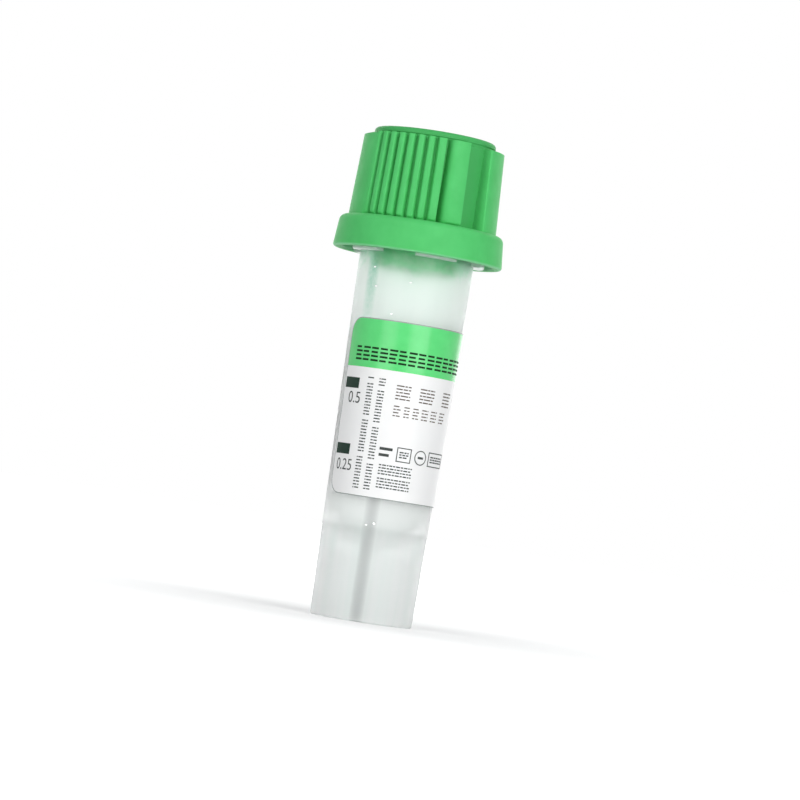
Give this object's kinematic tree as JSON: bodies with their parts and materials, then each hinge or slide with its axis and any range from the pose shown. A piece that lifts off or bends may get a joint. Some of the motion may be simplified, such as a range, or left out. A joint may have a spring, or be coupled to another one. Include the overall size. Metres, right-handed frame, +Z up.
{
  "type": "blood collection tube",
  "caption": "Small capped sample tube: a translucent tube on an open skirt, a ribbed green pull-off cap with an inner plug, and a wrapped label with fill marks.",
  "frame": {"origin": "centre of the base rim, on the surface that the tube stands on", "axes": "+Z up along the tube's axis; the front, where the fill marks show at the label's first edge, faces -Y; +X to its right"},
  "size_m": [0.0153, 0.0152, 0.044],
  "materials": {
    "tube_plastic": "frosted translucent moulded polypropylene",
    "cap_plastic": "green moulded polyethylene, satin, faintly translucent",
    "label_film": "coated label film, white below and green above, with dark print"
  },
  "bodies": {
    "tube_body": {"tube": "tube_plastic", "label": "label_film"},
    "cap_body": {"cap": "cap_plastic"}
  },
  "joints": [
    {"name": "cap_pull", "type": "slide", "parent": "tube_body", "child": "cap_body", "axis": [0, 0, 1], "range_m": [0, 0.014]}
  ]
}
